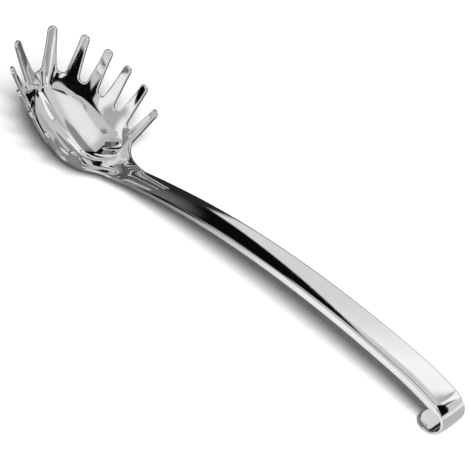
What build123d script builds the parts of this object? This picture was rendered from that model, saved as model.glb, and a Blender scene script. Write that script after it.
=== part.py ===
"""Pasta server of mirror-polished sheet steel: a tined bowl welded to a hollow handle with a curled hook.

The handle runs along +X, the tines stand up along +Z, and the origin is under the middle of the whole
piece, on the surface that its bowl and its hook rest on.
"""
from build123d import *
import math
import os

# Sheet stock and joints, in millimetres
sheet = 1.8            # blank of the head and of the handle's cover
flange_sheet = 1.6     # the cover's sides, thinned as they are turned down
base_sheet = 1.0       # plate that closes the handle from below
braze_gap = 0.04       # film of braze round the pieces let into the handle
overrun = 5.0          # how far a cutting solid passes the faces that it cuts

# Rim of the bowl, where the slots between the tines end: two half ellipses on one plane
rim_front = 44.3       # half length toward the front
rim_back = 27.0        # half length toward the handle
rim_half_width = 21.7
rim_height = 19.6      # of its widest place, over the surface that the piece rests on
rim_tilt = 20.9        # degrees, rising toward the front
bowl_depth = 15.9      # inside, square to the rim
wall_lean = 27.0       # degrees outward at the rim, from square to it
tip_lean = 20.0        # degrees outward at the tips
level_shares = (0.02, 0.07, 0.18, 0.36, 0.64, 1.0)   # of the bowl's depth, where it is drawn
tine_level_shares = (0.34, 0.67, 1.0)                # of the wall above the rim

# Tines
tine_count = 12
shoulder_run = 15.9    # along the rim, from the handle's centre line to the first slot
front_tine = 26.6      # length above the rim, along the wall
neck_tine = 25.2
tine_root_width = 7.3
tine_tip_width = 5.2
slot_radius = 2.2      # of the two corners in the bottom of each slot
slot_dip_share = 0.03  # of that radius, by which the corners run below the rim

# Neck, from the bowl to the weld at the handle
neck_start = 20.5      # from the rim's widest place
weld_x = 46.0
weld_slope = 14.5      # degrees, rising toward the hook
neck_flare = 6.4       # how much further out its edges stand at the bowl than at the weld, each side
neck_dip = 1.6         # how far its middle lies below the handle's line at the bowl
neck_rise = 6.5        # how far its edges stand above its middle at the bowl
# Along the run to the weld, and there: flare, dip and rise, each of its size above
neck_shares = ((0.23, 0.47, 0.58, 0.54), (0.46, 0.30, 0.17, 0.26), (0.69, 0.09, 0.0, 0.085))

# Handle, seen from the side: three arcs that run into one another, then the lip
arch_radius = 490.0
arch_turn = 22.2       # degrees
drop_radius = 124.0
drop_turn = 11.0
hook_radius = 10.05    # outside of the hook
lip_run = 7.4          # straight end of the hook

# Handle, seen from above
weld_width = 13.6
middle_width = 13.85
hook_width = 15.0

# Depth of the handle's sides, from the top face to the lower edge
weld_depth = 2.6
arch_depth = 4.2
end_depth = 5.05
hook_depth = 4.6
arch_depth_share = 0.45   # of the first arc, where the depth is arch_depth
end_depth_share = 0.88    # and end_depth
runout_share = 0.26       # of the hook's turn, where the sides have run out

# Pieces let into the handle
strap_reach = 14.0     # of the strap under the neck, from the weld
strap_run = 38.0       # of the strap in the handle, from the weld
strap_feather = 0.3    # thickness of its front end
strap_inset = 0.25     # its edges lie this far inside the neck's
plug_run = 10.0        # of the plug, before the hook


def sine(degrees):
    return math.sin(math.radians(degrees))


def cosine(degrees):
    return math.cos(math.radians(degrees))


def direction(degrees):
    """Unit vector in the side view, by its angle above +X."""
    return Vector(cosine(degrees), 0, sine(degrees))


rim_plane = Plane(origin=(0, 0, rim_height), x_dir=direction(-rim_tilt), z_dir=direction(90 - rim_tilt))


def oval(axes, height):
    """Closed wire of two half ellipses, parallel to the rim and a height above it."""
    front, back, side = axes
    front_half = EllipticalCenterArc((0, 0), front, side, start_angle=90, arc_size=180)
    back_half = EllipticalCenterArc((0, 0), back, side, start_angle=270, arc_size=180)
    return rim_plane.offset(height).from_local_coords(Wire([front_half, back_half]))


def wall_above(run, length):
    """How far out and up the wall has gone, a run above the rim on a tine of a length."""
    rate = math.radians(tip_lean - wall_lean) / length
    lean = math.radians(wall_lean) + rate * run
    out = (cosine(wall_lean) - math.cos(lean)) / rate
    up = (math.sin(lean) - sine(wall_lean)) / rate
    return out, up


def filled_bowl(skin):
    """The bowl and the wall above it as one filled body, a skin larger all round."""
    slope = math.tan(math.radians(90 - wall_lean))
    side = skin / cosine(wall_lean)
    depth = bowl_depth + skin
    rim_axes = [rim_front + side, rim_back + side, rim_half_width + side]
    sections = []
    for share in level_shares:
        axes = [axis * share ** (depth / (slope * axis)) for axis in rim_axes]
        sections.append(oval(axes, depth * (share - 1)))
    wall = front_tine + overrun
    for share in tine_level_shares:
        out, up = wall_above(share * wall, wall)
        sections.append(oval([axis + out for axis in rim_axes], up))
    return Solid.make_loft(sections)


def rim_point(turn):
    """A place on the rim, in its plane, by its turn from the handle's side."""
    reach = rim_back if math.cos(turn) > 0 else rim_front
    return reach * math.cos(turn), rim_half_width * math.sin(turn)


def rim_places():
    """The middle of each tine on the rim, and the heading there that leads outward."""
    steps = 3600
    turns = [2 * math.pi * step / steps for step in range(steps + 1)]
    points = [rim_point(turn) for turn in turns]
    runs = [0.0]
    for before, after in zip(points, points[1:]):
        runs.append(runs[-1] + math.dist(before, after))
    pitch = (runs[-1] - 2 * shoulder_run) / tine_count
    places = []
    for number in range(tine_count):
        wanted = shoulder_run + (number + 0.5) * pitch
        step = next(step for step, run in enumerate(runs) if run >= wanted)
        turn = turns[step] - (runs[step] - wanted) / (runs[step] - runs[step - 1]) * turns[1]
        x, y = rim_point(turn)
        reach = x / math.cos(turn)
        heading = math.degrees(math.atan2(math.sin(turn) / rim_half_width, math.cos(turn) / reach))
        places.append(((x, y), heading))
    return places


def tine_length(number):
    """Longest at the front, shortest beside the neck."""
    from_front = abs(number + 0.5 - tine_count / 2) / (tine_count / 2)
    return front_tine + (neck_tine - front_tine) * from_front


def tine_block(number, place):
    """A block through the wall with one tine's outline, flared into the slots beside it."""
    (x, y), heading = place
    root, tip = tine_root_width / 2, tine_tip_width / 2
    shoulder = tine_length(number) - tip
    flare = root + slot_radius
    dip = -slot_dip_share * slot_radius
    turn_x = flare - slot_radius * cosine(45)
    turn_z = dip + slot_radius * (1 - cosine(45))
    outline = [
        Polyline((-flare, dip), (-flare, -sheet), (flare, -sheet), (flare, dip)),
        ThreePointArc((flare, dip), (turn_x, turn_z), (root, dip + slot_radius)),
        Line((root, dip + slot_radius), (tip, shoulder)),
        ThreePointArc((tip, shoulder), (0, shoulder + tip), (-tip, shoulder)),
        Line((-tip, shoulder), (-root, dip + slot_radius)),
        ThreePointArc((-root, dip + slot_radius), (-turn_x, turn_z), (-flare, dip)),
    ]
    lean = (wall_lean + tip_lean) / 2
    outward = Vector(cosine(heading), sine(heading), 0)
    across = Vector(-sine(heading), cosine(heading), 0)
    face_way = outward * cosine(lean) - Vector(0, 0, sine(lean))
    face = Plane(origin=(x, y, 0), x_dir=across, z_dir=face_way) * make_face(outline)
    block = extrude(face, amount=front_tine * sine(wall_lean) + overrun)
    block += extrude(face, amount=-overrun)
    return rim_plane.from_local_coords(block)


def above_rim():
    """Everything above the rim's plane."""
    size = 4 * (rim_front + front_tine)
    slab = Box(size, size, size, align=(Align.CENTER, Align.CENTER, Align.MIN))
    return rim_plane.from_local_coords(slab)


# The handle's side view is worked out on its top face, by stretch, share of that stretch and depth

def handle_arcs():
    """Centre, radius, first and last slope of each arc, with the hook's lowest place at no height."""
    x, z, slope = weld_x, 0.0, weld_slope
    hook_turn = 180 + weld_slope - arch_turn - drop_turn
    arcs = []
    for radius, turn in ((arch_radius, arch_turn), (drop_radius, drop_turn), (hook_radius, hook_turn)):
        centre = Vector(x, 0, z) + direction(slope - 90) * radius
        arcs.append((centre, radius, slope, slope - turn))
        slope -= turn
        x, z = (centre + direction(slope + 90) * radius).X, (centre + direction(slope + 90) * radius).Z
    lift = Vector(0, 0, hook_radius - arcs[-1][0].Z)
    return [(centre + lift, radius, first, last) for centre, radius, first, last in arcs]


arcs = handle_arcs()
arch, drop, hook = range(3)


def spot(stretch, share, depth):
    """A place in the side view, a depth below the handle's top face."""
    centre, radius, first, last = arcs[stretch]
    place = centre + direction(first + (last - first) * share + 90) * (radius - depth)
    return place.X, place.Z


def top_arc(stretch, depth, start=0.0, end=1.0):
    """A stretch of the line that lies a depth below the top face."""
    middle = (start + end) / 2
    return ThreePointArc(spot(stretch, start, depth), spot(stretch, middle, depth), spot(stretch, end, depth))


weld_z = spot(arch, 0, 0)[1]
hook_x = spot(hook, 0, 0)[0]
crown = arcs[arch][0].Z + arch_radius
weld_plane = Plane(origin=(weld_x, 0, weld_z), x_dir=(0, 1, 0), z_dir=direction(weld_slope))


def lower_edge(lift):
    """Lower edge of the handle's sides, from the weld to the hook, lifted toward the top face."""
    return Spline(
        spot(arch, 0, weld_depth - lift),
        spot(arch, arch_depth_share, arch_depth - lift),
        spot(arch, end_depth_share, end_depth - lift),
        spot(hook, 0, hook_depth - lift),
    )


def side_solid(outline):
    """A body as wide as can be needed, from an outline in the side view."""
    return extrude(Plane.XZ * make_face(outline), amount=hook_width, both=True)


def plan_solid(inset):
    """A body as tall as can be needed, with the handle's outline from above, drawn in by an inset."""
    weld_half, middle_half, hook_half = [
        width / 2 - inset for width in (weld_width, middle_width, hook_width)
    ]
    middle_x = (weld_x + hook_x) / 2
    start, end = weld_x - overrun, hook_x + hook_radius + overrun
    outline = [
        Line((start, weld_half), (weld_x, weld_half)),
        ThreePointArc((weld_x, weld_half), (middle_x, middle_half), (hook_x, hook_half)),
        Polyline((hook_x, hook_half), (end, hook_half), (end, -hook_half), (hook_x, -hook_half)),
        ThreePointArc((hook_x, -hook_half), (middle_x, -middle_half), (weld_x, -weld_half)),
        Polyline((weld_x, -weld_half), (start, -weld_half), (start, weld_half)),
    ]
    return extrude(make_face(outline), amount=crown + overrun, both=True)


def handle_profile():
    """Side view of the handle with its hook and lip, filled down to the lower edge of its sides."""
    lip_x = spot(hook, 1, 0)[0] - lip_run
    return [
        top_arc(arch, 0),
        top_arc(drop, 0),
        top_arc(hook, 0),
        Polyline(spot(hook, 1, 0), (lip_x, 0), (lip_x, sheet), spot(hook, 1, sheet)),
        top_arc(hook, sheet, 1, runout_share),
        Line(spot(hook, runout_share, sheet), spot(hook, 0, hook_depth)),
        lower_edge(0),
        Line(spot(arch, 0, weld_depth), spot(arch, 0, 0)),
    ]


def under_profile(roof):
    """Side view of everything below a depth under the top face, from before the weld to the run-out."""
    x, z = spot(arch, 0, roof)
    before = (x - overrun * cosine(weld_slope), z - overrun * sine(weld_slope))
    return [
        Line(before, (x, z)),
        top_arc(arch, roof),
        top_arc(drop, roof),
        top_arc(hook, roof, 0, runout_share),
        Polyline(
            spot(hook, runout_share, roof),
            spot(hook, runout_share, hook_depth),
            spot(hook, 0, 2 * hook_depth),
            spot(arch, 0, 2 * weld_depth),
            (before[0], before[1] - weld_depth),
            before,
        ),
    ]


def hollow(start, end):
    """What fills the handle between its sides from one place along it to another, less the braze."""
    filling = side_solid(handle_profile()) & side_solid(under_profile(sheet + braze_gap))
    filling = filling & plan_solid(flange_sheet + braze_gap)
    size = 2 * (crown + hook_width)
    return filling & Pos((start + end) / 2, 0, 0) * Box(end - start, size, size)


def lip_corners():
    """What is cut from the end of the lip to round it."""
    half = hook_width / 2
    lip_x = spot(hook, 1, 0)[0] - lip_run
    block = Pos(lip_x + (half - overrun) / 2, 0, 0) * Box(half + overrun, hook_width + overrun, 4 * sheet)
    return block - Pos(lip_x + half, 0, 0) * Cylinder(half, 5 * sheet)


def make_handle_cover():
    """The channel that makes the handle's top and sides, with the hook and lip in the same sheet."""
    body = side_solid(handle_profile()) & plan_solid(0)
    return body - (side_solid(under_profile(sheet)) & plan_solid(flange_sheet)) - lip_corners()


# Neck sections stand on planes that lean over from upright at the bowl to the weld's plane

def neck_plane(shares):
    """The plane of a neck section, its origin on the top face at the middle."""
    run, _, dip, _ = shares
    x = neck_start + (weld_x - neck_start) * run
    z = weld_z - (weld_x - x) * math.tan(math.radians(weld_slope)) - neck_dip * dip
    return Plane(origin=(x, 0, z), x_dir=(0, 1, 0), z_dir=direction(weld_slope * run))


def neck_section(shares, top, bottom, inset):
    """Closed wire of the scooped neck between two depths under its top face, its edges drawn in."""
    _, flare, _, rise = shares
    half, height = weld_width / 2 + neck_flare * flare, neck_rise * rise
    turn = 2 * math.atan(height / half)
    sides = []
    for depth in (top, bottom):
        across, up = half - inset + depth * math.sin(turn), height - depth * math.cos(turn)
        sides.append((across, up, -depth))
    (top_half, top_edge, top_middle), (low_half, low_edge, low_middle) = sides
    right = Line((top_half, top_edge), (low_half, low_edge))
    left = Line((-low_half, low_edge), (-top_half, top_edge))
    if rise > 0:
        upper = ThreePointArc((-top_half, top_edge), (0, top_middle), (top_half, top_edge))
        lower = ThreePointArc((low_half, low_edge), (0, low_middle), (-low_half, low_edge))
    else:
        upper = Line((-top_half, top_edge), (top_half, top_edge))
        lower = Line((low_half, low_edge), (-low_half, low_edge))
    return neck_plane(shares).from_local_coords(Wire([upper, right, lower, left]))


weld_shares = (1.0, 0.0, 0.0, 0.0)   # the neck's last section, which the handle carries on


def make_head():
    """Bowl, tines and neck, pressed and cut from one sheet."""
    shell = filled_bowl(sheet) - filled_bowl(0)
    slots = above_rim()
    for number, place in enumerate(rim_places()):
        slots = slots - tine_block(number, place)
    size = 4 * (rim_front + front_tine)
    back_wall = Pos(neck_start + size / 2, 0, 0) * Box(size, size, size) - above_rim()
    shell = shell - slots - back_wall
    cut = shell.faces().filter_by(Plane.YZ).sort_by(Axis.X)[-1]
    sections = [cut.outer_wire()]
    for shares in (*neck_shares, weld_shares):
        sections.append(neck_section(shares, 0, sheet, 0))
    head = shell + Solid.make_loft(sections)
    return head - Pos(0, 0, -size / 2) * Box(size, size, size)


def make_neck_strap(head):
    """The strip that backs the weld: under the neck's end, and between the sides of the handle."""
    reach_share = 1 - strap_reach / (weld_x - neck_start)
    sections = []
    for shares in (neck_shares[1], neck_shares[2], weld_shares):
        grown = max(0, (shares[0] - reach_share) / (1 - reach_share))
        thickness = strap_feather + (weld_depth - sheet - strap_feather) * grown
        sections.append(neck_section(shares, sheet / 2, sheet + thickness, strap_inset))
    under_neck = Solid.make_loft(sections) - head
    return under_neck + hollow(weld_x - overrun, weld_x + strap_run)


def make_base_plate():
    """The plate that closes the handle from below, flush with the edges of its sides."""
    plate = [
        lower_edge(0),
        Line(spot(hook, 0, hook_depth), spot(hook, 0, hook_depth - base_sheet)),
        lower_edge(base_sheet),
        Line(spot(arch, 0, weld_depth - base_sheet), spot(arch, 0, weld_depth)),
    ]
    start = weld_x + strap_run + braze_gap
    return side_solid(plate) & hollow(start, hook_x - plug_run - braze_gap)


def make_end_plug():
    """The wedge that fills the handle where its sides run out into the hook."""
    return hollow(hook_x - plug_run, hook_x + hook_radius)


head = make_head()
pieces = {
    "head": head,
    "neck_strap": make_neck_strap(head),
    "handle_cover": make_handle_cover(),
    "base_plate": make_base_plate(),
    "end_plug": make_end_plug(),
}
front_x = pieces["head"].bounding_box().min.X
back_x = pieces["handle_cover"].bounding_box().max.X
os.makedirs("parts", exist_ok=True)
for name, piece in pieces.items():
    export_step(Pos(-(front_x + back_x) / 2, 0, 0) * piece, f"parts/{name}.step")
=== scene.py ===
import math
import bmesh
import bpy
import numpy as np
from mathutils import Matrix, Vector


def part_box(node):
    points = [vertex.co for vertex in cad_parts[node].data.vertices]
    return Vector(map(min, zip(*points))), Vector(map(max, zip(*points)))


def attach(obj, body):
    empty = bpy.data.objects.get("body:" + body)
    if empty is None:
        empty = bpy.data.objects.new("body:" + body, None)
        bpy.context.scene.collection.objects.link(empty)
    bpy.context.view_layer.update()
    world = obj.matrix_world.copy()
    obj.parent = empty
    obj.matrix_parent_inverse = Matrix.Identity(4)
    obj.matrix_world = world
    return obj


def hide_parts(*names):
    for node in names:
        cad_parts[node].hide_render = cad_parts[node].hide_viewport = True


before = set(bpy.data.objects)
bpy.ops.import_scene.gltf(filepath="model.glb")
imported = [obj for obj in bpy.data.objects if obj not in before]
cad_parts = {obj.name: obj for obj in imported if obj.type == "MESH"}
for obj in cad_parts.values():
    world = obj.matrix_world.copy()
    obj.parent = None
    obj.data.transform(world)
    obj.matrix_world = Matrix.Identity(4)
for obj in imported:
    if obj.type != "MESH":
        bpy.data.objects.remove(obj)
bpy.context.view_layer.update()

# Head: the bowl with its tines and its scooped neck, one blank of stainless sheet.
# It is pressed to shape, the slots between the tines are cut out, and every edge is rounded
# by tumbling before the whole piece is polished to a mirror.
mm = 0.001
sheet = 1.8 * mm
edge_round = 0.65 * mm
edge_turns = np.linspace(0, 90, 5)

# The rim is an oval, longer at the front, tilted down toward the neck.
rim_front = 44.3 * mm
rim_back = 27.0 * mm
rim_half_width = 21.7 * mm
rim_height = 19.6 * mm
rim_tilt = math.radians(20.9)
rim_points = 4001
oval_change = 4

# The bowl is a dish up to a bend, and a leaning wall from there. The bend lies deeper at the front.
bowl_depth = 17.3 * mm
dish_power = 1.9
side_bend, front_bend, front_power = 5.6 * mm, 9.3 * mm, 3
bend_round, bend_grows, bend_ends = 1.6 * mm, 8, 12
least_way = 0.9 * rim_half_width
wall_lean = math.radians(27)
tip_lean = math.radians(20)

# The tines stand on the rim, all round it but for a shoulder on each side of the neck.
tine_count = 12
shoulder_run = 15.9 * mm
front_tine = 26.6 * mm
neck_tine = 25.2 * mm
tine_root, tine_waist, tine_tip = 7.9 * mm, 6.3 * mm, 5.2 * mm
waist_share = 0.45
slot_radius = 2.3 * mm

# The neck ends at the weld, and its length is counted from the rim's centre. Away from the weld it
# widens and its sides rise. The weld's height is what the handle's curve gives it, resting on its lip.
neck_length = 46.0 * mm
weld_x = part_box("handle_cover")[0].x
rim_x = weld_x - neck_length
weld_z = 13.808 * mm
weld_slope = math.radians(14.5)
weld_half = 6.8 * mm
crown_tilt = math.radians(6)
neck_run = 20.0 * mm
neck_flare, flare_power = 3.0 * mm, 1.6
neck_rise, rise_power = 3.9 * mm, 2.2
neck_dip, dip_power = 0.93 * mm, 3.2
neck_start = 29.0 * mm

rim_along = np.array([math.cos(rim_tilt), 0, -math.sin(rim_tilt)])
rim_across = np.array([0.0, 1.0, 0.0])
rim_up = np.array([math.sin(rim_tilt), 0, math.cos(rim_tilt)])
rim_centre = np.array([rim_x, 0, rim_height])


def rim_reach(turn):
    """Half length of the rim's oval at a turn round it, longer at the front."""
    toward_neck = 0.5 + 0.5 * np.tanh(oval_change * np.cos(turn))
    return rim_front + (rim_back - rim_front) * toward_neck


def on_rim(turn):
    """A place on the rim, in its own plane, the turn counted from the neck."""
    return np.stack([rim_reach(turn) * np.cos(turn), rim_half_width * np.sin(turn)], -1)


turns = np.linspace(0, 2 * math.pi, rim_points)
steps = np.linalg.norm(np.diff(on_rim(turns), axis=0), axis=1)
runs = np.concatenate([[0.0], np.cumsum(steps)])
pitch = (runs[-1] - 2 * shoulder_run) / tine_count


def outward(turn):
    """Unit vector square to the rim, in its plane."""
    nudge = 1e-4
    along = on_rim(turn + nudge) - on_rim(turn - nudge)
    square = np.stack([along[..., 1], -along[..., 0]], -1)
    return square / np.linalg.norm(square, axis=-1, keepdims=True)


def rim_bend(turn):
    """How fast the rim turns there, per metre."""
    nudge = 1e-3
    change = np.linalg.norm(outward(turn + nudge) - outward(turn - nudge), axis=-1)
    return change / np.linalg.norm(on_rim(turn + nudge) - on_rim(turn - nudge), axis=-1)


def in_rim_frame(flat, height):
    """World place of a point given in the rim's plane and its height over it."""
    height = np.asarray(height)
    return (rim_centre + flat[..., :1] * rim_along + flat[..., 1:] * rim_across
            + height[..., None] * rim_up)


def wall_climb(rise, length):
    """How far out and up the wall has gone, a run above the rim."""
    rate = (tip_lean - wall_lean) / length
    lean = wall_lean + rate * rise
    return (math.cos(wall_lean) - np.cos(lean)) / rate, (np.sin(lean) - math.sin(wall_lean)) / rate


def on_wall(run, rise, length):
    """A place on the inside of the wall, by its run along the rim and its rise above it."""
    turn = np.interp(run, runs, turns)
    out, up = wall_climb(rise, length)
    return in_rim_frame(on_rim(turn) + outward(turn) * np.asarray(out)[..., None], up)


def in_bowl(turn, share):
    """A place on the inside of the bowl, out from its middle by a share of the way to the rim."""
    rim = on_rim(turn)
    way = np.maximum((rim * outward(turn)).sum(-1), least_way)
    bend_depth = side_bend + (front_bend - side_bend) * (0.5 - 0.5 * np.cos(turn)) ** front_power
    bend_share = 1 - bend_depth * math.tan(wall_lean) / way
    dish = -bowl_depth + (bowl_depth - bend_depth) * (share / bend_share) ** dish_power
    wall = -(1 - share) * way / math.tan(wall_lean)
    blunt = bend_round * np.tanh(bend_grows * share) * (1 - share ** bend_ends)
    height = (dish + wall + np.sqrt((dish - wall) ** 2 + blunt ** 2)) / 2
    return in_rim_frame(rim * np.asarray(share)[..., None], height)


def on_neck(x, share):
    """A place on the top face of the neck, by its run from the rim's centre and its share across."""
    back = np.maximum(neck_length - x, 0) / neck_run
    half = weld_half - edge_round + neck_flare * back ** flare_power
    rise = neck_rise * back ** rise_power - half * math.tan(crown_tilt) / 2
    middle = weld_z - (neck_length - x) * math.tan(weld_slope) - neck_dip * back ** dip_power
    return np.stack([rim_x + x + 0 * share, half * share, middle + rise * share ** 2], -1)


def tine_rows(length):
    """Rise and half width of a tine from the slot beside it to its tip, less the rounded edge."""
    round_rows, straight_rows = 9, 18
    half_pitch, tip = pitch / 2, tine_tip / 2
    turn = np.linspace(0, math.pi / 2, round_rows)
    rise = [slot_radius - (slot_radius + edge_round) * np.cos(turn)]
    half = [half_pitch - (half_pitch - tine_root / 2 + edge_round) * np.sin(turn)]
    straight = np.linspace(slot_radius, length - tip, straight_rows)[1:]
    widths = [tine_root / 2, tine_waist / 2, tip]
    shape = np.polyfit([slot_radius, waist_share * length, length - tip], widths, 2)
    rise.append(straight)
    half.append(np.polyval(shape, straight) - edge_round)
    turn = turn[1:]
    rise.append(length - tip + (tip - edge_round) * np.sin(turn))
    half.append((tip - edge_round) * np.cos(turn))
    return np.concatenate(rise), np.concatenate(half)


def add_grid(bm, points):
    """Quads over a grid of points, rows by columns."""
    verts = [[bm.verts.new(point) for point in row] for row in points]
    for lower, upper in zip(verts, verts[1:]):
        for corners in zip(lower, lower[1:], upper[1:], upper):
            bm.faces.new(corners)


dish_end, bowl_end = 0.6, 0.985
bowl_shares = np.concatenate([np.linspace(0, dish_end, 13)[:-1], np.linspace(dish_end, bowl_end, 30)])


def add_tine(bm, number):
    """A tine with the wall between its slots, and the sector of the bowl from the middle to it."""
    columns = 14
    share = np.linspace(-1, 1, columns + 1)
    middle = shoulder_run + (number + 0.5) * pitch
    from_front = abs(number + 0.5 - tine_count / 2) / (tine_count / 2)
    length = front_tine + (neck_tine - front_tine) * from_front
    rise, half = tine_rows(length)
    spread = 1 + wall_climb(rise, length)[0] * rim_bend(np.interp(middle, runs, turns))
    spread[0] = 1
    run = middle + share[None, :] * (half / spread)[:, None]
    add_grid(bm, on_wall(run, rise[:, None] + 0 * run, length))
    turn = np.interp(middle + share * pitch / 2, runs, turns)
    rows = [in_bowl(turn, bowl_share + 0 * turn) for bowl_share in bowl_shares]
    rows.append(on_wall(middle + share * pitch / 2, -edge_round + 0 * share, length))
    add_grid(bm, np.array(rows))


def add_neck(bm):
    """The sector of the bowl between the shoulders, the blend out of it, and the neck to the weld.

    The blend leaves the bowl along its slope in the middle, and along the rim at the shoulders."""
    columns, blend_rows, neck_rows = 33, 28, 15
    leave_middle, leave_gain, leave_power = 0.55, 0.45, 3
    just_inside, ahead, tiny = 0.99, 0.1 * mm, 1e-9
    share = np.linspace(-1, 1, columns)
    turn = np.interp(np.abs(share) * shoulder_run, runs, turns) * np.sign(share)
    leave = leave_middle + leave_gain * np.abs(share) ** leave_power
    rows = [in_bowl(turn, bowl_share * leave) for bowl_share in bowl_shares]
    start = in_bowl(turn, leave)
    start[[0, -1]] = on_wall(np.array([shoulder_run, shoulder_run]), -edge_round, neck_tine)
    start[0, 1] *= -1
    add_grid(bm, np.array(rows + [start]))
    climb = in_bowl(turn, leave) - in_bowl(turn, leave * just_inside)
    climb /= np.linalg.norm(climb, axis=1, keepdims=True)
    around = in_bowl(turn * just_inside, leave) - in_bowl(turn, leave)
    around[len(share) // 2] = 0
    around /= np.maximum(np.linalg.norm(around, axis=1, keepdims=True), tiny)
    swing = math.pi / 2 * share ** 2
    first = climb * np.cos(swing)[:, None] + around * np.sin(swing)[:, None]
    end = on_neck(neck_start + 0 * share, share)
    last = on_neck(neck_start + ahead + 0 * share, share) - end
    last /= np.linalg.norm(last, axis=1, keepdims=True)
    gap = np.linalg.norm(end - start, axis=1, keepdims=True)
    rows = []
    for way in np.linspace(0, 1, blend_rows):
        rows.append((2 * way**3 - 3 * way**2 + 1) * start + (way**3 - 2 * way**2 + way) * gap * first
                    + (3 * way**2 - 2 * way**3) * end + (way**3 - way**2) * gap * last)
    for x in np.linspace(neck_start, neck_length, neck_rows)[1:]:
        rows.append(on_neck(x + 0 * share, share))
    add_grid(bm, np.array(rows))


def head_top():
    """The head's upper face, up to where its edges start to round over."""
    same_place = 0.004 * mm
    bm = bmesh.new()
    for number in range(tine_count):
        add_tine(bm, number)
    add_neck(bm)
    bmesh.ops.remove_doubles(bm, verts=bm.verts, dist=same_place)
    bmesh.ops.recalc_face_normals(bm, faces=bm.faces)
    if sum(face.normal.z * face.calc_area() for face in bm.faces) < 0:
        bmesh.ops.reverse_faces(bm, faces=bm.faces)
    return bm


def open_edge(bm):
    """The open edge of a sheet, as one ring of vertex numbers."""
    after = {}
    for face in bm.faces:
        for loop in face.loops:
            if loop.edge.is_boundary:
                after[loop.vert.index] = loop.link_loop_next.vert.index
    ring = [next(iter(after))]
    for _ in range(len(after) - 1):
        ring.append(after[ring[-1]])
    if after[ring[-1]] != ring[0]:
        raise ValueError(f"the sheet's edge is not one ring: {len(after)} edges, {len(set(ring))} in it")
    return ring


def sine_cosine(degrees):
    """Sine and cosine of an angle in degrees."""
    return math.sin(math.radians(degrees)), math.cos(math.radians(degrees))


def rounded_sheet(bm, thickness, under_round):
    """A closed mesh from a sheet's upper face: its lower face, and edges that round over between them.

    The straight cut at the weld stays square. The lower edge's radius is given by under_round."""
    cut_slack = 0.05 * mm
    bm.normal_update()
    bm.verts.index_update()
    place = np.array([vert.co for vert in bm.verts])
    normal = np.array([vert.normal for vert in bm.verts])
    ring = open_edge(bm)
    cut = {index for index in ring if abs(place[index, 0] - weld_x) < cut_slack}
    first = next(spot for spot, index in enumerate(ring) if index in cut and ring[spot + 1] not in cut)
    ring = ring[first:] + ring[:first]
    edge = [index for spot, index in enumerate(ring) if index not in cut or ring[spot - 1] not in cut
            or ring[(spot + 1) % len(ring)] not in cut]
    along = np.roll(place[ring], -1, axis=0) - np.roll(place[ring], 1, axis=0)
    along[0] = place[ring[1]] - place[ring[0]]
    last = len(edge) - 1
    along[last] = place[ring[last]] - place[ring[last - 1]]
    along = along[:last + 1]
    out = np.cross(along, normal[edge])
    out /= np.linalg.norm(out, axis=1, keepdims=True)
    count = len(place)
    verts = [*place, *(place - normal * thickness)]
    bands = [edge]
    under = np.array([under_round(point) for point in place[edge]])[:, None]
    for turn in edge_turns[1:]:
        sine, cosine = sine_cosine(turn)
        band = place[edge] + out * edge_round * sine - normal[edge] * edge_round * (1 - cosine)
        bands.append(list(range(len(verts), len(verts) + len(edge))))
        verts.extend(band)
    for turn in edge_turns[::-1]:
        sine, cosine = sine_cosine(turn)
        band = place[edge] + out * (edge_round - under + under * sine)
        band -= normal[edge] * (thickness - under + under * cosine)
        bands.append(list(range(len(verts), len(verts) + len(edge))))
        verts.extend(band)
    bands.append([index + count for index in edge])
    faces = [tuple(vert.index for vert in face.verts) for face in bm.faces]
    faces += [tuple(index + count for index in reversed(face)) for face in faces]
    for upper, lower in zip(bands, bands[1:]):
        for spot in range(last):
            faces.append((upper[spot + 1], upper[spot], lower[spot], lower[spot + 1]))
    across_cut = ring[last + 1:]
    cap = [band[last] for band in bands][::-1] + across_cut + [band[0] for band in bands]
    cap += [index + count for index in reversed(across_cut)]
    faces.append(tuple(cap))
    bm.free()
    return verts, faces


def make_piece(name, verts, faces, node):
    """An object of smooth-shaded faces, sharp only at its square corners, that stands for a node."""
    same_place, crease = 0.003 * mm, math.radians(40)
    mesh = bpy.data.meshes.new(name)
    mesh.from_pydata([tuple(vert) for vert in verts], [], faces)
    bm = bmesh.new()
    bm.from_mesh(mesh)
    bmesh.ops.remove_doubles(bm, verts=bm.verts, dist=same_place)
    bmesh.ops.recalc_face_normals(bm, faces=bm.faces)
    for face in bm.faces:
        face.smooth = True
        for edge in face.edges:
            if len(edge.link_faces) == 2 and edge.calc_face_angle(0) > crease:
                edge.smooth = False
    bm.to_mesh(mesh)
    bm.free()
    piece = bpy.data.objects.new(name, mesh)
    bpy.context.scene.collection.objects.link(piece)
    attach(piece, "root")
    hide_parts(node)
    return piece


flush_start, flush_run = 27 * mm, 5 * mm


def head_under_round(point):
    """Radius of the lower edge: it runs out where the strap is welded flush under the neck."""
    share = min(max((point[0] - rim_x - flush_start) / flush_run, 0), 1)
    return edge_round * (1 - share * share * (3 - 2 * share))


def add_node(tree, kind, settings=None, values=None):
    """A node in a tree, with its settings and the values of its unlinked inputs."""
    node = tree.nodes.new(kind)
    for name, value in (settings or {}).items():
        setattr(node, name, value)
    for name, value in (values or {}).items():
        node.inputs[name].default_value = value
    return node


def add_sockets(group, side, kinds):
    """The inputs or outputs of a node group, from their names and the kind of each."""
    for name, kind in kinds.items():
        group.interface.new_socket(name, in_out=side, socket_type=f"NodeSocket{kind}")


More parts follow.
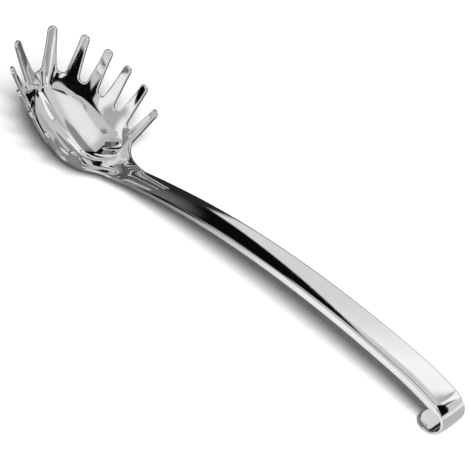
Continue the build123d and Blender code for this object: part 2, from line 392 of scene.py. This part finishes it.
# The polish of all the steel: faint clouds and hairlines left by the wheel, a slight ripple,
# and corners that are a little duller. Its heights are in thousandths of a millimetre.
polish = bpy.data.node_groups.new("steel_polish", "ShaderNodeTree")
add_sockets(polish, "INPUT", {
    "Clean": "Color", "Dull": "Color", "Haze": "Float", "Cloud": "Float", "Edge": "Float",
    "Stretch": "Vector", "Hairlines": "Float", "Ripple": "Float"})
add_sockets(polish, "OUTPUT", {"Colour": "Color", "Roughness": "Float", "Height": "Float"})
given = add_node(polish, "NodeGroupInput")
result = add_node(polish, "NodeGroupOutput")
where = add_node(polish, "ShaderNodeTexCoord")
shape = add_node(polish, "ShaderNodeNewGeometry")
smooth = {"interpolation_type": "SMOOTHSTEP"}
cloud = add_node(polish, "ShaderNodeTexNoise", None, {"Scale": 60, "Detail": 3, "Roughness": 0.55})
clouded = add_node(polish, "ShaderNodeMapRange", smooth, {"From Min": 0.35, "From Max": 0.68})
stretched = add_node(polish, "ShaderNodeVectorMath", {"operation": "MULTIPLY"})
hair = add_node(polish, "ShaderNodeTexNoise", None, {"Scale": 1, "Detail": 2, "Roughness": 0.6})
from_line = add_node(polish, "ShaderNodeMath", {"operation": "SUBTRACT"}, {1: 0.5})
off_line = add_node(polish, "ShaderNodeMath", {"operation": "ABSOLUTE"})
groove = {"From Min": 0, "From Max": 0.012, "To Min": -1, "To Max": 0}
line = add_node(polish, "ShaderNodeMapRange", smooth, groove)
line_deep = add_node(polish, "ShaderNodeMath", {"operation": "MULTIPLY"})
wave = add_node(polish, "ShaderNodeTexNoise", None, {"Scale": 95, "Detail": 1, "Roughness": 0.4})
wave_deep = add_node(polish, "ShaderNodeMath", {"operation": "MULTIPLY"})
height = add_node(polish, "ShaderNodeMath", {"operation": "ADD"})
corner = add_node(polish, "ShaderNodeMapRange", smooth, {"From Min": 0.51, "From Max": 0.56})
corner_dull = add_node(polish, "ShaderNodeMath", {"operation": "MULTIPLY"})
cloud_dull = add_node(polish, "ShaderNodeMath", {"operation": "MULTIPLY_ADD"})
rough = add_node(polish, "ShaderNodeMath", {"operation": "ADD"})
colour = add_node(polish, "ShaderNodeMix", {"data_type": "RGBA"})
for source, target in (
        (where.outputs["Object"], cloud.inputs["Vector"]), (cloud.outputs["Fac"], clouded.inputs["Value"]),
        (where.outputs["Object"], stretched.inputs[0]), (given.outputs["Stretch"], stretched.inputs[1]),
        (stretched.outputs["Vector"], hair.inputs["Vector"]), (hair.outputs["Fac"], from_line.inputs[0]),
        (from_line.outputs["Value"], off_line.inputs[0]), (off_line.outputs["Value"], line.inputs["Value"]),
        (line.outputs["Result"], line_deep.inputs[0]), (given.outputs["Hairlines"], line_deep.inputs[1]),
        (where.outputs["Object"], wave.inputs["Vector"]), (wave.outputs["Fac"], wave_deep.inputs[0]),
        (given.outputs["Ripple"], wave_deep.inputs[1]), (line_deep.outputs["Value"], height.inputs[0]),
        (wave_deep.outputs["Value"], height.inputs[1]), (height.outputs["Value"], result.inputs["Height"]),
        (shape.outputs["Pointiness"], corner.inputs["Value"]),
        (corner.outputs["Result"], corner_dull.inputs[0]), (given.outputs["Edge"], corner_dull.inputs[1]),
        (clouded.outputs["Result"], cloud_dull.inputs[0]), (given.outputs["Cloud"], cloud_dull.inputs[1]),
        (given.outputs["Haze"], cloud_dull.inputs[2]), (cloud_dull.outputs["Value"], rough.inputs[0]),
        (corner_dull.outputs["Value"], rough.inputs[1]), (rough.outputs["Value"], result.inputs["Roughness"]),
        (clouded.outputs["Result"], colour.inputs["Factor"]), (given.outputs["Clean"], colour.inputs["A"]),
        (given.outputs["Dull"], colour.inputs["B"]), (colour.outputs["Result"], result.inputs["Colour"])):
    polish.links.new(source, target)


def steel_finish(name, look):
    """A steel material with its own values of the polish group."""
    material = bpy.data.materials.new(name)
    material.use_nodes = True
    tree = material.node_tree
    steel = tree.nodes["Principled BSDF"]
    steel.inputs["Metallic"].default_value = 1
    finish = add_node(tree, "ShaderNodeGroup", {"node_tree": polish}, look)
    bump = add_node(tree, "ShaderNodeBump", None, {"Strength": 1, "Distance": 0.001 * mm})
    tree.links.new(finish.outputs["Colour"], steel.inputs["Base Color"])
    tree.links.new(finish.outputs["Roughness"], steel.inputs["Roughness"])
    tree.links.new(finish.outputs["Height"], bump.inputs["Height"])
    tree.links.new(bump.outputs["Normal"], steel.inputs["Normal"])
    return material


bright, clouded_bright = (0.935, 0.932, 0.925, 1), (0.905, 0.905, 0.90, 1)
pressed_look = {"Clean": bright, "Dull": clouded_bright, "Haze": 0.02, "Cloud": 0.03, "Edge": 0.05,
                "Stretch": (900, 900, 140), "Hairlines": 0.6, "Ripple": 6}
verts, faces = rounded_sheet(head_top(), sheet, head_under_round)
head = make_piece("polished_head", verts, faces, "head")
head.data.materials.append(steel_finish("buffed_bowl", pressed_look))

# Handle cover: a channel of the same sheet, its sides turned down from the flat top.
# Past the sides' run-out the sheet goes on alone, curled into the hook and ended in a round lip.
# Its front end is butt-welded to the neck and polished until the seam is gone.
flange_sheet = 1.6 * mm
side_round = 0.3 * mm
arch_radius, arch_turn = 490.0 * mm, math.radians(22.2)
drop_radius, drop_turn = 124.0 * mm, math.radians(11)
hook_radius = 10.05 * mm
hook_turn = math.pi + weld_slope - arch_turn - drop_turn
lip_run = 7.4 * mm
weld_width, middle_width, hook_width = 13.6 * mm, 13.85 * mm, 15.0 * mm
runout_share = 0.26
drop_start = arch_radius * arch_turn
hook_start = drop_start + drop_radius * drop_turn
lip_start = hook_start + hook_radius * hook_turn
runout_run = hook_radius * hook_turn * runout_share
top_round, hook_round, round_run = 1.3 * mm, 0.8 * mm, 25.0 * mm
arch_rings, drop_rings, hook_rings, lip_rings = 96, 14, 60, 14


def on_handle(run):
    """Place in side view and slope of the handle's top face, a run from the weld."""
    x, z, slope = weld_x, 0.0, weld_slope
    left = run
    for radius, turn in ((arch_radius, arch_turn), (drop_radius, drop_turn), (hook_radius, hook_turn)):
        part = min(left, radius * turn)
        end = slope - part / radius
        x += radius * (math.sin(slope) - math.sin(end))
        z += radius * (math.cos(end) - math.cos(slope))
        slope, left = end, left - part
    return x + left * math.cos(slope), z + left * math.sin(slope), slope


handle_length = on_handle(hook_start)[0] - weld_x
handle_lift = -on_handle(lip_start)[1]


def handle_half(run):
    """Half width of the handle a run from the weld."""
    share = 1
    if run < hook_start:
        share = min(on_handle(run)[0] - weld_x, handle_length) / handle_length
    width = weld_width * (1 - share) * (1 - 2 * share) + middle_width * 4 * share * (1 - share)
    return (width + hook_width * share * (2 * share - 1)) / 2


depth_runs = [0, 0.45 * drop_start, 0.88 * drop_start, hook_start]
depth_sizes = [2.6 * mm, 4.2 * mm, 5.05 * mm, 4.6 * mm]
depth_curve = np.polyfit(depth_runs, depth_sizes, 3)


def side_depth(run):
    """Depth of the handle's sides under its top face: into the hook their lower edge is cut straight."""
    if run <= hook_start:
        return float(np.polyval(depth_curve, run))
    share = min((run - hook_start) / runout_run, 1)
    first, last = hook_radius - depth_sizes[-1], hook_radius - sheet
    turned = hook_turn * runout_share
    end = np.array([last * math.cos(turned), last * math.sin(turned)])
    angle = share * turned
    line = end - np.array([first, 0])
    reach = first * line[1] / (math.cos(angle) * line[1] - math.sin(angle) * line[0])
    return hook_radius - reach


def upper_round(run):
    """Radius of the cover's upper edges: it grows from the weld and shrinks again into the hook."""
    grown = min(run / round_run, 1)
    past = min(max(run - hook_start, 0) / runout_run, 1)
    radius = edge_round + (top_round - edge_round) * grown
    return radius + (hook_round - radius) * past


crown_shares = [*np.linspace(0, 0.9, 10), 0.97, 1.0]
upper_leans = np.linspace(crown_tilt, math.pi / 2, 9)[1:]
lower_turns = (90, 60, 30, 0)
most_of_side = 0.9


def channel_ring(run):
    """One half of a ring round the cover's section: along, across and depth of each point."""
    half, depth, top = handle_half(run), side_depth(run), upper_round(run)
    low = min(side_round + (edge_round - side_round) * (run > hook_start), (depth - top) * most_of_side)
    flat = half - top + top * math.sin(crown_tilt)
    drop = flat * math.tan(crown_tilt) / 2
    right = [(0, flat * share, drop * share ** 2) for share in crown_shares]
    centre = drop + top * math.cos(crown_tilt)
    for lean in upper_leans:
        right.append((0, half - top + top * math.sin(lean), centre - top * math.cos(lean)))
    for turn in lower_turns:
        sine, cosine = sine_cosine(turn)
        right.append((0, half - low + low * sine, depth - low + low * cosine))
    inner = half - flange_sheet
    right += [(0, inner, depth), (0, inner, min(sheet, depth)), (0, inner / 2, min(sheet, depth))]
    return right


def lip_ring(swing):
    """One half of a ring of the lip's rounded end, from its start to its tip as the swing grows."""
    half = hook_width / 2
    flat = half - hook_round + hook_round * math.sin(crown_tilt)
    drop = flat * math.tan(crown_tilt) / 2
    ahead, aside = math.sin(swing), math.cos(swing)
    right = []
    for share in crown_shares:
        across = aside * share
        right.append((flat * ahead, flat * across, drop * across ** 2))
    for lean in upper_leans:
        reach = half - hook_round + hook_round * math.sin(lean)
        lower = drop * aside ** 2 + hook_round * (math.cos(crown_tilt) - math.cos(lean))
        right.append((reach * ahead, reach * aside, lower))
    for turn in lower_turns:
        sine, cosine = sine_cosine(turn)
        reach = half - edge_round + edge_round * sine
        right.append((reach * ahead, reach * aside, sheet - edge_round + edge_round * cosine))
    inner = half - flange_sheet
    right += [(inner * ahead, inner * aside, sheet)] * 2 + [(inner * ahead, inner * aside / 2, sheet)]
    return right


def place_ring(run, right):
    """Places of a ring, mirrored to a whole one, with the top face at the weld at height 0."""
    ring = right + [(along, -across, depth) for along, across, depth in right[::-1]]
    places = []
    for along, across, depth in ring:
        x, z, slope = on_handle(run + along)
        places.append((x + depth * math.sin(slope), across, z - depth * math.cos(slope)))
    return places


def ring_faces(rings, capped):
    """Quads between rings of as many points, with a face over the first and, if capped, the last."""
    size = len(rings[0])
    faces = [tuple(range(size))]
    for start in range(0, (len(rings) - 1) * size, size):
        for spot in range(size):
            here, beside = start + spot, start + (spot + 1) % size
            faces.append((here, beside, beside + size, here + size))
    if capped:
        faces.append(tuple(range((len(rings) - 1) * size, len(rings) * size)))
    return faces


rings = []
for run in [*np.linspace(0, drop_start, arch_rings), *np.linspace(drop_start, hook_start, drop_rings)[1:],
            *np.linspace(hook_start, lip_start, hook_rings)[1:]]:
    rings.append(place_ring(run, channel_ring(run)))
lip_centre = lip_start + lip_run - hook_width / 2
for swing in np.linspace(0, math.pi / 2, lip_rings)[1:]:
    rings.append(place_ring(lip_centre, lip_ring(swing)))
verts = [(x, y, z + handle_lift) for ring in rings for x, y, z in ring]
cover = make_piece("polished_handle", verts, ring_faces(rings, False), "handle_cover")
handle_look = {"Clean": bright, "Dull": clouded_bright, "Haze": 0.02, "Cloud": 0.025, "Edge": 0.04,
               "Stretch": (90, 1300, 1300), "Hairlines": 0.6, "Ripple": 3}
cover.data.materials.append(steel_finish("buffed_handle", handle_look))

# Backing strap: a strip of sheet welded flush under the end of the neck, from a feather edge.
# Past the weld it narrows and lies between the sides of the handle, and carries the load across the seam.
strap_start, strap_end = 32.0 * mm, 84.0 * mm
feather = 0.04 * mm
braze_gap = 0.04 * mm
let_in_round = 0.1 * mm
most_of_strap = 0.8
flush_rings, let_in_rings = 24, 20


def neck_half(x):
    """Half width of the neck a run from the rim's centre."""
    return weld_half + neck_flare * ((neck_length - x) / neck_run) ** flare_power


def across_ring(half, roof, depth, low):
    """Across and depth of the points round one half of a strip's section, from the top's middle."""
    right = [(half * share, roof) for share in np.linspace(0, 1, 9)]
    for turn in lower_turns:
        sine, cosine = sine_cosine(turn)
        right.append((half - low + low * sine, depth - low + low * cosine))
    right += [((half - low) * share, depth) for share in (0.75, 0.5, 0.25, 0)]
    return right


def under_neck(x, right):
    """World places of a strip's ring at right angles to the neck's top face."""
    places = []
    ahead, aside = 0.01 * mm, 0.001
    half = neck_half(x)
    for across, depth in right + [(-across, depth) for across, depth in right[::-1]]:
        share = across / (half - edge_round)
        inner = np.clip(share, -1, 1)
        here = on_neck(x, inner)
        side = on_neck(x, inner + aside) - on_neck(x, inner - aside)
        along = on_neck(x + ahead, inner) - on_neck(x - ahead, inner)
        normal = np.cross(along, side)
        normal /= np.linalg.norm(normal)
        here = here + side / np.linalg.norm(side) * (across - inner * (half - edge_round))
        places.append(here - normal * depth)
    return places


flush, let_in = [], []
for x in np.linspace(strap_start, neck_length, flush_rings):
    grown = (x - strap_start) / (neck_length - strap_start)
    thickness = feather + (depth_sizes[0] - sheet - feather) * grown
    low = min(side_round, most_of_strap * thickness)
    flush.append(under_neck(x, across_ring(neck_half(x), sheet, sheet + thickness, low)))
for x in np.linspace(neck_length, strap_end, let_in_rings):
    run = (x - neck_length) / math.cos(weld_slope)
    half = handle_half(run) - flange_sheet - braze_gap
    section = across_ring(half, sheet + braze_gap, side_depth(run), let_in_round)
    let_in.append(place_ring(run, [(0, across, depth) for across, depth in section]))
verts = [(x, y, z) for ring in flush for x, y, z in ring]
verts += [(x, y, z + handle_lift) for ring in let_in for x, y, z in ring]
strap = make_piece("polished_strap", verts, ring_faces(flush + let_in, True), "neck_strap")
strap_look = {"Clean": bright, "Dull": clouded_bright, "Haze": 0.04, "Cloud": 0.05, "Edge": 0.04,
              "Stretch": (90, 1300, 1300), "Hairlines": 1.2, "Ripple": 3}
strap.data.materials.append(steel_finish("buffed_strap", strap_look))

# Base plate: a strip that closes the handle from below, brazed between its sides.
# It is linished along its length with a fine belt, so it is satin, with straight hairlines.
satin_grey, satin_dull = (0.80, 0.80, 0.79, 1), (0.72, 0.72, 0.71, 1)
satin_look = {"Clean": satin_grey, "Dull": satin_dull, "Haze": 0.16, "Cloud": 0.08, "Edge": 0.05,
              "Stretch": (70, 3000, 3000), "Hairlines": 4, "Ripple": 3}


def finish_solid(name, material):
    """Give a piece that keeps its plain solid its finish."""
    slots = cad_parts[name].data.materials
    slots.clear()
    slots.append(material)


finish_solid("base_plate", steel_finish("linished_steel", satin_look))

# End plug: a wedge that fills the handle where its sides run out, before the hook.
# It is set in with the base plate and linished with it, a little finer.
plug_look = {**satin_look, "Haze": 0.12, "Stretch": (90, 3600, 3600)}
finish_solid("end_plug", steel_finish("linished_plug", plug_look))

# Camera: it stands past the hook and to one side, and looks down on the server, rolled by a hair.
# Its angles, its distance and its long lens come from fitting a symmetric server to the photograph.
photo_pixels, focal_pixels = 470, 1362.9
azimuth, elevation, roll = math.radians(48.46), math.radians(40.51), math.radians(0.22)
aim_along, aim_across, aim_height = 118.36 * mm, 2.52 * mm, 19.85 * mm
camera_distance = 0.6652
camera = bpy.data.cameras.new("camera")
camera.sensor_width = 36
camera.lens = focal_pixels / photo_pixels * camera.sensor_width
viewer = bpy.data.objects.new("camera", camera)
bpy.context.scene.collection.objects.link(viewer)
target = Vector((rim_x + aim_along, aim_across, aim_height))
back = Vector((math.sin(azimuth) * math.cos(elevation), -math.cos(azimuth) * math.cos(elevation),
               math.sin(elevation)))
level_right = Vector((math.cos(azimuth), math.sin(azimuth), 0))
level_up = back.cross(level_right)
right = math.cos(roll) * level_right + math.sin(roll) * level_up
up = math.cos(roll) * level_up - math.sin(roll) * level_right
viewer.matrix_world = Matrix((
    (right.x, up.x, back.x, 0), (right.y, up.y, back.y, 0), (right.z, up.z, back.z, 0), (0, 0, 0, 1)))
viewer.location = target + back * camera_distance
bpy.context.scene.camera = viewer
bpy.context.scene.view_settings.view_transform = "Standard"

# Studio: what the mirror-bright steel reflects, a grey room with pale and black panels round the server.
# Past the floor the camera sees plain white, and a faint even light fills the shadows.
room_light = 0.08
patch = bpy.data.node_groups.new("soft_patch", "ShaderNodeTree")
add_sockets(patch, "INPUT", {
    "Direction": "Vector", "Below": "Color", "Middle": "Vector", "Inner": "Float", "Outer": "Float",
    "Grey": "Color"})
add_sockets(patch, "OUTPUT", {"Colour": "Color"})
given = add_node(patch, "NodeGroupInput")
result = add_node(patch, "NodeGroupOutput")
facing = add_node(patch, "ShaderNodeVectorMath", {"operation": "DOT_PRODUCT"})
fade = add_node(patch, "ShaderNodeMapRange", smooth)
mix = add_node(patch, "ShaderNodeMix", {"data_type": "RGBA"})
for source, target in (
        (given.outputs["Direction"], facing.inputs[0]), (given.outputs["Middle"], facing.inputs[1]),
        (facing.outputs["Value"], fade.inputs["Value"]), (given.outputs["Outer"], fade.inputs["From Min"]),
        (given.outputs["Inner"], fade.inputs["From Max"]), (fade.outputs["Result"], mix.inputs["Factor"]),
        (given.outputs["Below"], mix.inputs["A"]), (given.outputs["Grey"], mix.inputs["B"]),
        (mix.outputs["Result"], result.inputs["Colour"])):
    patch.links.new(source, target)

world = bpy.data.worlds.new("studio")
bpy.context.scene.world = world
world.use_nodes = True
room = world.node_tree
direction = add_node(room, "ShaderNodeTexCoord").outputs["Generated"]
ambient = room.nodes["Background"]
ambient.inputs["Color"].default_value = (1, 1, 1, 1)
ambient.inputs["Strength"].default_value = room_light
panels = add_node(room, "ShaderNodeBackground")
backdrop = add_node(room, "ShaderNodeBackground", None, {"Color": (1, 1, 1, 1)})
ray = add_node(room, "ShaderNodeLightPath")


def toward(azimuth, elevation):
    """Unit vector at an azimuth, counted from the hook's end, and an elevation, both in degrees."""
    around, above = math.radians(azimuth), math.radians(elevation)
    return math.cos(around) * math.cos(above), math.sin(around) * math.cos(above), math.sin(above)


def add_patch(below, azimuth, elevation, inner, outer, grey):
    """A round patch over the studio, solid to one angle from its middle and faded out at another."""
    node = add_node(room, "ShaderNodeGroup", {"node_tree": patch}, {
        "Below": (1, 1, 1, 1), "Middle": toward(azimuth, elevation), "Inner": math.cos(math.radians(inner)),
        "Outer": math.cos(math.radians(outer)), "Grey": (grey, grey, grey, 1)})
    room.links.new(direction, node.inputs["Direction"])
    if below is not None:
        room.links.new(below, node.inputs["Below"])
    return node.outputs["Colour"]


def add_panel(below, corners, soft, grey):
    """A flat panel over the studio, a convex polygon seen from the server, with its edges faded."""
    points = [Vector(toward(*corner)) for corner in corners]
    middle = sum(points, Vector())
    blur = math.sin(math.radians(soft))
    share = None
    for one, other in zip(points, points[1:] + points[:1]):
        inward = one.cross(other).normalized()
        if inward.dot(middle) < 0:
            inward.negate()
        side = add_node(room, "ShaderNodeVectorMath", {"operation": "DOT_PRODUCT"}, {1: inward})
        fade = add_node(room, "ShaderNodeMapRange", smooth, {"From Min": -blur, "From Max": blur})
        room.links.new(direction, side.inputs[0])
        room.links.new(side.outputs["Value"], fade.inputs["Value"])
        inside = fade.outputs["Result"]
        if share is not None:
            both = add_node(room, "ShaderNodeMath", {"operation": "MULTIPLY"})
            room.links.new(share, both.inputs[0])
            room.links.new(inside, both.inputs[1])
            inside = both.outputs["Value"]
        share = inside
    mix = add_node(room, "ShaderNodeMix", {"data_type": "RGBA"}, {"B": (grey, grey, grey, 1)})
    room.links.new(share, mix.inputs["Factor"])
    room.links.new(below, mix.inputs["A"])
    return mix.outputs["Result"]


# The room's own grey, then each panel over the ones before it. Corners are azimuth and elevation.
shade = add_patch(None, azimuth=0, elevation=90, inner=160, outer=170, grey=0.62)
shade = add_patch(shade, azimuth=286, elevation=60, inner=8, outer=30, grey=0.86)
shade = add_patch(shade, azimuth=205, elevation=35, inner=10, outer=45, grey=0.48)
overhead = ((187, 66), (175, 58), (150, 60), (130, 64), (105, 68), (60, 67), (15, 72), (330, 79))
shade = add_panel(shade, overhead, soft=1.2, grey=0.27)
shade = add_patch(shade, azimuth=155, elevation=64, inner=4, outer=14, grey=0.16)

# The pale wall across from the camera, with a greyer end and a soft grey wedge.
pale_wall = ((47, 20), (47, 57), (75, 63), (105, 64), (131, 60), (141, 40), (144, 22), (144, 20))
shade = add_panel(shade, pale_wall, soft=1.0, grey=0.98)
pale_wall_end = ((52, 50), (54, 62), (79, 63), (79, 42), (64, 42))
shade = add_panel(shade, pale_wall_end, soft=3.0, grey=0.45)
shade = add_patch(shade, azimuth=139, elevation=38, inner=8, outer=26, grey=0.70)

# The black screens beyond the bowl, with a dark grey gap between two of them.
tall_screen = ((144.5, 18), (142, 30), (130, 60), (150, 66), (180, 60), (188, 0), (184, -8), (150, -8))
shade = add_panel(shade, tall_screen, soft=0.8, grey=0.003)
high_screen = ((180, 57), (200, 56), (216, 50), (216, 45), (200, 46), (180, 46))
shade = add_panel(shade, high_screen, soft=1.0, grey=0.004)
screen_gap = ((182, 45), (214, 43), (226, 33), (222, 28), (182, 32))
shade = add_panel(shade, screen_gap, soft=1.5, grey=0.20)
low_screen = ((180, 34), (214, 30), (226, 10), (228, -6), (180, -6))
shade = add_panel(shade, low_screen, soft=2.0, grey=0.012)

# Dark strips just over the floor, and two lighter spots in the tall screen.
left_strip = ((222, 3), (222, -4), (250, -4), (250, 3))
shade = add_panel(shade, left_strip, soft=1.0, grey=0.05)
middle_strip = ((96, 9), (116, 17), (128, 23), (150, 25), (150, -6), (96, -6))
shade = add_panel(shade, middle_strip, soft=2.0, grey=0.02)
right_strip = ((61, 11), (61, -5), (100, -5), (100, 14))
shade = add_panel(shade, right_strip, soft=2.0, grey=0.08)
shade = add_patch(shade, azimuth=160, elevation=22, inner=3, outer=13, grey=0.14)
shade = add_patch(shade, azimuth=159, elevation=5, inner=3, outer=13, grey=0.12)

# Two dark panels that show in the neck.
neck_near = ((296, 26), (294, 41), (306, 46), (322, 45), (332, 36), (332, 26))
shade = add_panel(shade, neck_near, soft=2.5, grey=0.06)
neck_far = ((206, 37), (206, 47), (230, 46), (230, 36))
shade = add_panel(shade, neck_far, soft=1.5, grey=0.10)

# Three black panels that show in the hook as a trunk with two arms.
hook_trunk = ((9, 10), (18, 42), (40, 45), (30, 9))
hook_high_arm = ((22, 41), (50, 60), (40, 43))
hook_low_arm = ((33, 40), (40, 44), (48, 27))
for corners in (hook_trunk, hook_high_arm, hook_low_arm):
    shade = add_panel(shade, corners, soft=0.8, grey=0.003)

unseen = add_node(room, "ShaderNodeMixShader")
seen = add_node(room, "ShaderNodeMixShader")
for source, target in (
        (shade, panels.inputs["Color"]), (ray.outputs["Is Glossy Ray"], unseen.inputs["Fac"]),
        (ambient.outputs["Background"], unseen.inputs[1]), (panels.outputs["Background"], unseen.inputs[2]),
        (ray.outputs["Is Camera Ray"], seen.inputs["Fac"]), (unseen.outputs["Shader"], seen.inputs[1]),
        (backdrop.outputs["Background"], seen.inputs[2]),
        (seen.outputs["Shader"], room.nodes["World Output"].inputs["Surface"])):
    room.links.new(source, target)

# Key light: one broad soft lamp over the camera, a little to its right, for the soft shadow to the left.
# With the room's faint light it brings a white floor to just under white. The steel doesn't reflect it.
key_width = math.radians(20)
key_level = 0.9
key_right, key_up = 0.24, 0.10
lamp = bpy.data.lights.new("key", "SUN")
lamp.angle = key_width
lamp.energy = key_level * math.pi / back.z
key = bpy.data.objects.new("key", lamp)
bpy.context.scene.collection.objects.link(key)
from_key = (back + right * key_right + up * key_up).normalized()
key.rotation_euler = from_key.to_track_quat("Z", "Y").to_euler()
key.visible_glossy = False

# Floor: a plain white sheet, a hair under the server, so that the two never share a plane.
# For glossy rays only, shade is painted into its colour, so the steel sees it in greys: painted falloff
# darker toward the bowl, painted shade black far off on that side, and a painted shadow under the handle and
# beyond it, as far as the hook.
floor_size, floor_drop = 4, 0.02 * mm
fall_azimuth, fall_run = -30, 60 * mm
floor_shade_grey, floor_lit_grey = 0.22, 0.85
floor_shade_start, floor_shade_level = -25 * mm, 0.55
across_start, across_end = 20 * mm, 70 * mm
hook_floor_start, hook_floor_end, hook_floor_shade_level = 60 * mm, 160 * mm, 0.5
far_shade_start, far_shade_end = 300 * mm, 600 * mm
bpy.ops.mesh.primitive_plane_add(size=floor_size, location=(0, 0, -floor_drop))
floor = bpy.context.object
floor.name = "floor"
floor_paint = bpy.data.materials.new("floor")
floor_paint.use_nodes = True
floor_tree = floor_paint.node_tree
paint = floor_tree.nodes["Principled BSDF"]
paint.inputs["Roughness"].default_value = 1
paint.inputs["Specular IOR Level"].default_value = 0


def floor_range(value, low, high, start, end):
    """A smooth change from start to end while a value goes from low to high."""
    values = {"From Min": low, "From Max": high, "To Min": start, "To Max": end}
    node = add_node(floor_tree, "ShaderNodeMapRange", smooth, values)
    floor_tree.links.new(value, node.inputs["Value"])
    return node.outputs["Result"]


def floor_math(operation, one, other):
    """The result of two values, each a number or another node's output."""
    node = add_node(floor_tree, "ShaderNodeMath", {"operation": operation})
    for socket, value in zip(node.inputs, (one, other)):
        if isinstance(value, (int, float)):
            socket.default_value = value
        else:
            floor_tree.links.new(value, socket)
    return node.outputs["Value"]


floor_place = add_node(floor_tree, "ShaderNodeNewGeometry").outputs["Position"]
fall = toward(fall_azimuth, 0)
along = add_node(floor_tree, "ShaderNodeVectorMath", {"operation": "DOT_PRODUCT"}, {1: fall})
away = add_node(floor_tree, "ShaderNodeVectorMath", {"operation": "LENGTH"})
split = add_node(floor_tree, "ShaderNodeSeparateXYZ")
for node in (along, away, split):
    floor_tree.links.new(floor_place, node.inputs[0])
# Painted shade for the steel's view of the floor: darker toward the bowl, and a painted shadow beside and
# under the handle as far as the hook.
lit = floor_range(along.outputs["Value"], -fall_run, fall_run, floor_shade_grey, floor_lit_grey)
across_floor = floor_range(split.outputs["Y"], across_start, across_end, floor_shade_level, 1)
toward_hook = floor_range(split.outputs["X"], hook_floor_start, hook_floor_end, hook_floor_shade_level, 1)
past_hook = floor_math("MULTIPLY", across_floor, toward_hook)
beside = floor_range(split.outputs["Y"], floor_shade_start, 0, 1, floor_shade_level)
near = floor_math("MULTIPLY", lit, floor_math("MAXIMUM", beside, past_hook))
# Painted shade: far off on the bowl's side the floor goes black.
unlit = floor_range(along.outputs["Value"], -fall_run, fall_run, 1, 0)
far = floor_range(away.outputs["Value"], far_shade_start, far_shade_end, 0, 1)
kept = floor_math("SUBTRACT", 1, floor_math("MULTIPLY", unlit, far))
painted_floor_shade = floor_math("MULTIPLY", near, kept)
# Only glossy rays get this painted shade. Camera rays and the lamp's light see a plain white floor.
floor_ray = add_node(floor_tree, "ShaderNodeLightPath")
blend = add_node(floor_tree, "ShaderNodeMix", {"data_type": "RGBA"}, {"A": (1, 1, 1, 1)})
floor_tree.links.new(floor_ray.outputs["Is Glossy Ray"], blend.inputs["Factor"])
floor_tree.links.new(painted_floor_shade, blend.inputs["B"])
floor_tree.links.new(blend.outputs["Result"], paint.inputs["Base Color"])
floor.data.materials.append(floor_paint)
